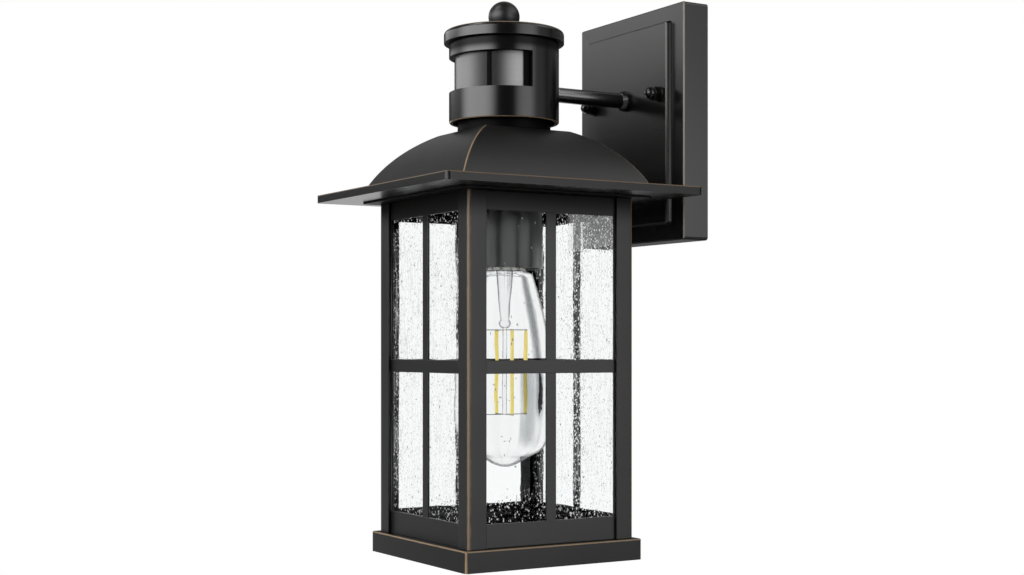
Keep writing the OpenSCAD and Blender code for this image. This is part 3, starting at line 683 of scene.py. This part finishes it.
def seeded_glass():
    """Clear drawn sheet: fine seeds that act as small lenses, pale specks, and upright reams and
    streaks. The specks and streaks glow faintly: painted light. It is calm over the front of the
    right pane, above its foot, and over the back of the left one. A patch of painted glow lies on
    the back pane, along the right of its top."""
    finish = ClearFinish("seeded_glass")
    seeds = finish.node(
        "ShaderNodeTexVoronoi",
        {},
        {"Vector": finish.spread((0.8, 1, 0.5)), "Scale": 900.0},
        out="Distance",
    )
    pick = finish.node("ShaderNodeSeparateColor", {}, {"Color": seeds.part("Color")})
    drift = finish.drawn((90, 90, 28), detail=3)
    ream = finish.drawn((260, 260, 30), roughness=0.55)
    fine = finish.drawn((1100, 1100, 420), roughness=0.6)

    across, back = finish.at("X") - axis_x, finish.at("Y") - axis_y
    height = finish.at("Z") - pane_low.z
    on_right = across.rise(cage_half - 0.01, cage_half - 0.006)
    on_left = across.rise(0.01 - cage_half, 0.006 - cage_half)
    on_back = back.rise(cage_half - 0.0062, cage_half - 0.0056)
    calm_right = on_right * back.rise(0.0113, -0.0067) * height.rise(0.0192, 0.0362)
    calm = calm_right.at_least(on_left * back.rise(0.0053, 0.0153))

    crowd = drift.rise(0.36, 0.62) * (1 - calm)
    lens = seeds.rise(0.4, 0.05) * pick.rise(0.56, 0.78) * 0.34
    bent = finish.relief(lens * crowd + ream * 0.1 + fine * 0.014, 0.0002)
    clear = finish.bent_through(1.35, bent, (0.985, 0.99, 0.99, 1))
    gloss = finish.mirror(Roughness=0.04, Normal=bent)
    sheet = finish.layered(finish.glancing(0.012) * 0.25 * (1 - calm), clear, gloss)

    specks = seeds.rise(0.32, 0.22) * pick.part("Green").rise(0.7, 0.74) * 0.8
    streaks = finish.drawn((800, 800, 50)).rise(0.56, 0.72) * 0.3
    above_foot = height.rise(0.0232, 0.0312)
    below_top = height.rise(pane_height - 0.0155, pane_height - 0.0235)
    # A patch of painted glow on the back pane.
    glow_patch = on_back * height.rise(pane_height - 0.027, pane_height - 0.026)
    glow_patch = glow_patch * across.rise(-0.009, -0.005) * fine * 0.36
    veil = ((specks + streaks * above_foot * below_top) * (1 - calm) + glow_patch).at_most(1)
    # The specks, streaks and patch glow though the glass is no lamp: painted light.
    pale = finish.surface(
        Base_Color=(0.5, 0.5, 0.5, 1),
        Roughness=0.2,
        Emission_Color=(1, 1, 1, 1),
        Emission_Strength=0.42,
    )
    return finish.done(finish.layered(veil, sheet, pale))


def pane_recipe():
    """Geometry nodes for one pane: a slightly wavy sheet with flattened bubbles inside."""
    columns, rows, bare_edge = 34, 66, 0.003
    flattest, fullest = (0.35, 0.3, 0.4), (1.0, 0.6, 1.9)
    tree = bpy.data.node_groups.new("seeded_pane", "GeometryNodeTree")
    for name, kind in (
        ("Width", "Float"), ("Height", "Float"), ("Thickness", "Float"), ("Wave", "Float"),
        ("Seed size", "Float"), ("Seeds per square metre", "Float"), ("Seed", "Int"),
        ("Sheet finish", "Material"), ("Bubble finish", "Material"),
    ):
        tree.interface.new_socket(name, in_out="INPUT", socket_type="NodeSocket" + kind)
    tree.interface.new_socket("Mesh", in_out="OUTPUT", socket_type="NodeSocketGeometry")
    draw = Recipe(tree)
    given = draw.node("NodeGroupInput")
    width, height, random_seed = given.part("Width"), given.part("Height"), given.part("Seed")
    bare_thickness = given.part("Thickness") - given.part("Wave") * 2
    size = draw.node("ShaderNodeCombineXYZ", {}, {0: width, 1: bare_thickness, 2: height})
    block = draw.node(
        "GeometryNodeMeshCube",
        {},
        {"Size": size, "Vertices X": columns, "Vertices Y": 2, "Vertices Z": rows},
    )
    ripple = draw.node(
        "ShaderNodeTexNoise",
        {"noise_dimensions": "4D"},
        {
            "Vector": draw.node("GeometryNodeInputPosition"),
            "W": random_seed, "Scale": 45.0, "Detail": 1.0,
        },
    )
    normal = draw.node("ShaderNodeSeparateXYZ", {}, {0: draw.node("GeometryNodeInputNormal")})
    push = draw.node(
        "ShaderNodeCombineXYZ", {}, {1: normal.part("Y") * given.part("Wave") * (ripple * 2 - 1)}
    )
    sheet = draw.node("GeometryNodeSetPosition", {}, {"Geometry": block, "Offset": push})
    clear_sheet = draw.node(
        "GeometryNodeSetMaterial", {}, {"Geometry": sheet, "Material": given.part("Sheet finish")}
    )
    face = draw.node(
        "GeometryNodeMeshGrid",
        {},
        {
            "Size X": width - bare_edge, "Size Y": height - bare_edge,
            "Vertices X": 2, "Vertices Y": 2,
        },
    )
    upright = draw.node(
        "GeometryNodeTransform", {}, {"Geometry": face, "Rotation": (math.pi / 2, 0, 0)}
    )
    spots = draw.node(
        "GeometryNodeDistributePointsOnFaces",
        {},
        {"Mesh": upright, "Density": given.part("Seeds per square metre"), "Seed": random_seed},
    )
    bubble = draw.node(
        "GeometryNodeMeshIcoSphere", {}, {"Radius": given.part("Seed size"), "Subdivisions": 2}
    )
    squash = draw.node(
        "FunctionNodeRandomValue",
        {"data_type": "FLOAT_VECTOR"},
        {0: flattest, 1: fullest, "Seed": random_seed},
    )
    scattered = draw.node(
        "GeometryNodeInstanceOnPoints", {}, {"Points": spots, "Instance": bubble, "Scale": squash}
    )
    bubbles = draw.node(
        "GeometryNodeSetMaterial",
        {},
        {"Geometry": scattered, "Material": given.part("Bubble finish")},
    )
    both = draw.node("GeometryNodeJoinGeometry", {}, {0: clear_sheet})
    tree.links.new(bubbles.socket, both.socket.node.inputs[0])
    real = draw.node("GeometryNodeRealizeInstances", {}, {"Geometry": both})
    smooth = draw.node("GeometryNodeSetShadeSmooth", {}, {"Geometry": real})
    draw.node("NodeGroupOutput", {}, {0: smooth})
    return tree


def bubble_glass():
    """The skin of a bubble, seen as a small pale ring in the sheet."""
    finish = ClearFinish("bubble_glass")
    clear = finish.straight_through((0.9, 0.9, 0.9, 1))
    bright = finish.surface(Base_Color=(0.8, 0.81, 0.81, 1), Roughness=0.08)
    share = (finish.edge_on(0.4) * 0.5 + finish.noise(700, 1) * 0.7).at_most(1)
    return finish.done(finish.layered(share, clear, bright))


def grown(name, tree, inputs):
    """A mesh object from a geometry tree; the inputs are set by the identifiers of their sockets."""
    host = plain_object(name, bpy.data.meshes.new(name))
    modifier = host.modifiers.new("grow", "NODES")
    modifier.node_group = tree
    for item in tree.interface.items_tree:
        if item.in_out == "INPUT" and item.name in inputs:
            modifier[item.identifier] = inputs[item.name]
    return settled(host)


sheet_finish, bubble_finish = seeded_glass(), bubble_glass()
pane_tree = pane_recipe()
first_seed = 11
for number, side in enumerate(("front", "right", "back", "left")):
    low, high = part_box("pane_" + side)
    size = high - low
    pane = grown(
        "seeded_pane_" + side,
        pane_tree,
        {
            "Width": max(size.x, size.y), "Height": size.z, "Thickness": min(size.x, size.y),
            "Wave": 0.00012, "Seed size": 0.00055, "Seeds per square metre": 5000.0,
            "Seed": first_seed + number,
            "Sheet finish": sheet_finish, "Bubble finish": bubble_finish,
        },
    )
    turned = Matrix.Rotation(math.radians(90 * number), 4, "Z")
    pane.data.transform(Matrix.Translation((low + high) / 2) @ turned)
    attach(pane, "lantern")
    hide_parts("pane_" + side)
dressed("glass_clips", zinc, edge=0.0001)

# ---- Base ----
# A shallow square aluminium frame that the cage stands on, open in the middle so that
# the bulb is changed from below. A low upstand keeps the glass in.

base_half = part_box("base_frame")[1].x - axis_x
base_top = post_low.z
rim_width, rim_round, rim_steps = 0.0014, 0.0007, 4
on_base_corner = at_outer_corner(base_half)


def on_base_rim(p):
    """The four outer faces of the frame and the edges round them."""
    return max(abs(p.x - axis_x), abs(p.y - axis_y)) > base_half - rim_width


def rubbed_on_base(p):
    """The upper outer edge and the four upright corners."""
    return on_base_rim(p) and (p.z > base_top - rim_width or on_base_corner(p))


base_black = rubbed_black(
    "base_black", wear=1.2, coat_roughness=0.3, grain_depth=0.000004, shine=0.34,
    bronze=worn_bronze,
)
dressed(
    "base_frame", base_black, edge=0.0003, rubbed_at=rubbed_on_base,
    wide=(on_base_rim, rim_round, rim_steps),
)

# ---- Bulb ----
# A clear blown bulb on a nickel-plated screw cap. Four slim filament rods coated in
# yellow phosphor hang round a glass stem on fine wires.

glass_low, glass_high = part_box("bulb_glass")
belly = Vector((axis_x, axis_y, glass_low.z + glass_high.x - axis_x))
nose_z = glass_low.z + 0.007
nickel = plated("nickel", (0.70, 0.69, 0.66, 1), roughness=0.2)
insulator = moulded("insulator", (0.02, 0.018, 0.018, 1), roughness=0.2)
lead_wire = plated("lead_wire", (0.5, 0.5, 0.5, 1), roughness=0.3)


def clear_bulb_glass():
    """Blown clear glass with faint upright swirls. It bends light at its outer skin. Its darker edge
    is painted shade, the grey band well inside it a painted reflection, and the grey patch on its
    right the far post painted on it, as if seen through the glass."""
    finish = ClearFinish("bulb_glass")
    swirl = finish.drawn((70, 70, 10))
    level = finish.vector(
        "MULTIPLY", finish.node("ShaderNodeNewGeometry", out="Normal"), (1, 1, 0.1)
    )
    level = finish.vector("NORMALIZE", level)
    bent = finish.node("ShaderNodeBump", {}, {"Height": swirl, "Distance": 0.0003, "Normal": level})
    swept = finish.edge_on() + (swirl - 0.5) * 0.16
    height = finish.at("Z") - glass_low.z
    turn = turn_round_axis(finish)

    # A painted reflection in a band well inside the edge.
    band = swept.rise(0.17, 0.24) * swept.rise(0.36, 0.3) * 0.8 * height.rise(0.022, 0.04)
    # Painted shade: the far post drawn on the glass as if seen through it.
    far_post_patch = turn.rise(math.radians(76), math.radians(80))
    far_post_patch = far_post_patch * turn.rise(math.radians(114), math.radians(106))
    far_post_patch = far_post_patch * height.rise(0.01, 0.018) * height.rise(0.058, 0.055)
    grey = band.at_least(far_post_patch * swirl.rise(0.3, 0.62))
    clear_skin = finish.bent_through(1.1, bent, (0.99, 0.99, 0.99, 1))
    grey_skin = finish.bent_through(1.1, bent, (0.45, 0.46, 0.47, 1))
    outer_skin = finish.layered(grey, clear_skin, grey_skin)

    inner_skin = finish.straight_through((0.99, 0.99, 0.99, 1))
    outside = finish.node("ShaderNodeAttribute", {"attribute_name": "outer_skin"}, out="Fac")
    body = finish.layered(outside, inner_skin, outer_skin)
    # Painted shade along the edge of the glass.
    dark_edge = finish.straight_through((0.3, 0.31, 0.32, 1))
    body = finish.layered(swept.rise(0.62, 0.95), body, dark_edge)
    gloss = finish.mirror(Roughness=0.01, Normal=bent)
    return finish.done(finish.layered(finish.glancing(0.015), body, gloss))


def mark_outer_skin(piece):
    """Marks the outer skin of the blown glass above its nose, whose faces look away from its belly."""
    skin = piece.data.attributes.new("outer_skin", "FLOAT", "POINT")
    for v in piece.data.vertices:
        looks_out = v.normal.dot(v.co - belly) > 0
        skin.data[v.index].value = float(looks_out and v.co.z > nose_z)


def stem_glass():
    """Drawn glass rod and flare, clear through the middle; its dark edges are painted shade, broken by
    its draw lines.
    """
    finish = ClearFinish("stem_glass")
    draw_lines = finish.drawn((500, 500, 40))
    clear = finish.straight_through((0.97, 0.97, 0.97, 1))
    grey = finish.straight_through((0.35, 0.36, 0.38, 1))
    share = (finish.edge_on() + (draw_lines - 0.5) * 0.8).rise(0.15, 0.75)
    body = finish.layered(share, clear, grey)
    gloss = finish.mirror(Roughness=0.02)
    return finish.done(finish.layered(finish.glancing(0.02), body, gloss))


def phosphor():
    """Yellow silicone phosphor over a row of chips, with a faint painted glow that only brightens its
    yellow.
    """
    finish = Finish("phosphor")
    chips_per_metre = 900.0
    chips = abs((finish.at("Z") * chips_per_metre).fraction() - 0.5) * 2
    shade = finish.blend(chips.rise(0.3, 0.8), (0.95, 0.74, 0.12, 1), (0.97, 0.86, 0.34, 1))
    return finish.done(
        finish.surface(
            Base_Color=shade, Roughness=0.45, Emission_Color=shade, Emission_Strength=0.35
        )
    )


bulb_glass = dressed(
    "bulb_glass", clear_bulb_glass(), edge=0.0001, sharp=60, body="bulb"
)
mark_outer_skin(bulb_glass)
dressed("bulb_cap", nickel, edge=0.0001, body="bulb")
dressed("bulb_contact", insulator, edge=0.0002, body="bulb")
dressed("bulb_stem", stem_glass(), edge=0.0001, sharp=60, body="bulb")
dressed("bulb_filaments", phosphor(), edge=0.0002, body="bulb")
dressed("bulb_leads", lead_wire, edge=0.00005, sharp=60, body="bulb")

# ---- Studio ----
# The lantern hangs over a pale floor in a surround that is seen as plain white and
# lights it from tall soft windows in front of it, on both sides and behind. A small
# lamp above it adds a little.

eye, view_turn = (0.8143, -0.5885, -0.1521), math.radians(58.643)
least_light = 0.04
world = bpy.data.worlds.new("surround")
bpy.context.scene.world = world
world.use_nodes = True
sky = Recipe(world.node_tree)
sky.tree.nodes.clear()
way = sky.node("ShaderNodeTexCoord", out="Generated")
way_parts = sky.node("ShaderNodeSeparateXYZ", {}, {0: way})
tall_way = sky.vector("NORMALIZE", sky.vector("MULTIPLY", way, (1, 1, 0.55)))


def window_light(azimuth, reach, core):
    """A tall soft light in the surround, all in degrees: full within core of its middle and none
    past reach. Azimuth 0 is in front of the lantern and 90 on its right."""
    a = math.radians(azimuth)
    middle = (math.sin(a), -math.cos(a), 0.1)
    facing = sky.vector("DOT_PRODUCT", tall_way, middle, out="Value")
    return facing.rise(math.cos(math.radians(reach)), math.cos(math.radians(core)))


height = way_parts.part("Z")
upper = height.rise(0.8, 0.35)
key = window_light(2, 47, 10) * height.rise(-0.12, 0.12) * upper * 5.6
fill = window_light(105, 26, 2) * 2.65 + window_light(125, 40, 4) * 0.65
fill = fill * height.rise(-0.3, 0.0) * (height.rise(0.26, 0.04) * 0.45 + 0.55) * upper
left_wall = window_light(-62, 36, 10) * height.rise(0.13, 0.24)
left_wall = left_wall * (height.rise(0.34, 0.25) + 0.03) * 2.8
left_high = window_light(-115, 42, 10) * height.rise(0.28, 0.42) * 0.5
rear_wall = window_light(130, 60, 12) * height.rise(0.3, 0.5) * 1.15
rear_high = way_parts.part("Y").rise(0.1, 0.45) * height.rise(0.35, 0.55) * 0.2
high_window = window_light(143, 22, 4) * height.rise(0.45, 0.62) * 2.4
view_way = (-math.sin(view_turn), math.cos(view_turn), 0)
far_side = sky.vector("DOT_PRODUCT", way, view_way, out="Value").rise(0.4, 0.9)
pale_floor = height.rise(0.04, -0.08) * (far_side + 0.11)
walls = key + fill + left_wall + left_high + rear_wall + rear_high + high_window
surround = walls + pale_floor + least_light
ray = sky.node("ShaderNodeLightPath")
seen = ray.part("Is Camera Ray").at_least(ray.part("Is Transmission Ray"))
white_seen = sky.node("ShaderNodeBackground", {}, {"Color": (1, 1, 1, 1), "Strength": 1.0})
soft_light = sky.node("ShaderNodeBackground", {}, {"Color": (1, 1, 1, 1), "Strength": surround})
mixed = sky.layered(seen, soft_light, white_seen)
sky.node("ShaderNodeOutputWorld", {}, {"Surface": mixed})

floor_z, floor_half, fade_from, fade_to = -0.85, 1.6, 1.1, 1.75
floor_mesh = bpy.data.meshes.new("floor")
around = ((-1, -1), (1, -1), (1, 1), (-1, 1))
floor_corners = [(floor_half * x, floor_half * y, floor_z) for x, y in around]
floor_mesh.from_pydata(floor_corners, [], [(0, 1, 2, 3)])
paper = Finish("paper")
from_middle = paper.vector("LENGTH", paper.place, out="Value")
pale_paper = paper.surface(
    Base_Color=paper.blend(paper.noise(30, 4), (0.86, 0.86, 0.86, 1), (0.9, 0.9, 0.9, 1)),
    Roughness=0.9,
    Alpha=from_middle.rise(fade_to, fade_from),
)
floor = plain_object("floor", floor_mesh, paper.done(pale_paper))

cup_low, cup_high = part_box("socket_cup")
lamp_turn, lamp_rise, lamp_distance = math.radians(-20), math.radians(60), 1.6
lamp_way = Vector((
    math.sin(lamp_turn) * math.cos(lamp_rise),
    -math.cos(lamp_turn) * math.cos(lamp_rise),
    math.sin(lamp_rise),
))
top_lamp = bpy.data.lights.new("top_light", "AREA")
top_lamp.size, top_lamp.energy = 0.5, 4
top_light = bpy.data.objects.new("top_light", top_lamp)
top_light.location = (cup_low + cup_high) / 2 + lamp_way * lamp_distance
top_light.rotation_euler = lamp_way.to_track_quat("Z", "Y").to_euler()
bpy.context.scene.collection.objects.link(top_light)

lens_mm, sensor_mm = 55.9, 36
camera_data = bpy.data.cameras.new("camera")
camera_data.lens, camera_data.sensor_width = lens_mm, sensor_mm
camera_data.shift_x, camera_data.shift_y = -0.0161, 0.0570
camera = bpy.data.objects.new("camera", camera_data)
camera.location = eye
camera.rotation_euler = (math.pi / 2, 0, view_turn)
bpy.context.scene.collection.objects.link(camera)
bpy.context.scene.camera = camera
# Enough for the skins of two panes, their bubbles and the bulb, one behind another.
bpy.context.scene.cycles.transparent_max_bounces = 32
bpy.context.scene.view_settings.view_transform = "Standard"
